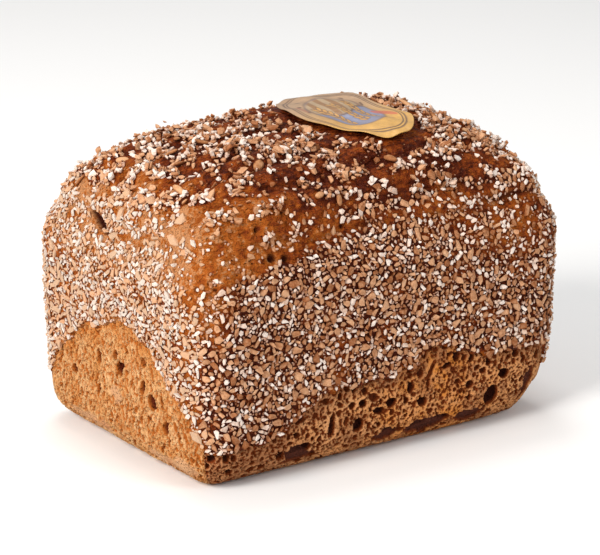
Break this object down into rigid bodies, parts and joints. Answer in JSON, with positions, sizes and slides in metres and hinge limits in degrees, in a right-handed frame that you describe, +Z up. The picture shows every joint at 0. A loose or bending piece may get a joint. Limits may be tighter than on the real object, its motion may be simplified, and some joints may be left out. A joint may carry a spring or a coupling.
{
  "type": "spelt bread",
  "caption": "Tin-baked spelt loaf with a folded dome, bared porous crumb at its foot, a crust of cracked grain, and a wavy oval paper label on top.",
  "frame": {"origin": "centre of the flat underside that the loaf rests on", "axes": "+X along the loaf, -Y out of the long side that the picture shows, -X out of the end that it shows, +Z up"},
  "size_m": [0.1901, 0.1343, 0.1314],
  "materials": {
    "crust": "baked brown crust with pale cracked grain and golden open crumb",
    "label_paper": "lightly glossed gold-tan paper with a plain printed border"
  },
  "bodies": {
    "root": {"loaf": "crust", "label": "label_paper"}
  },
  "joints": []
}
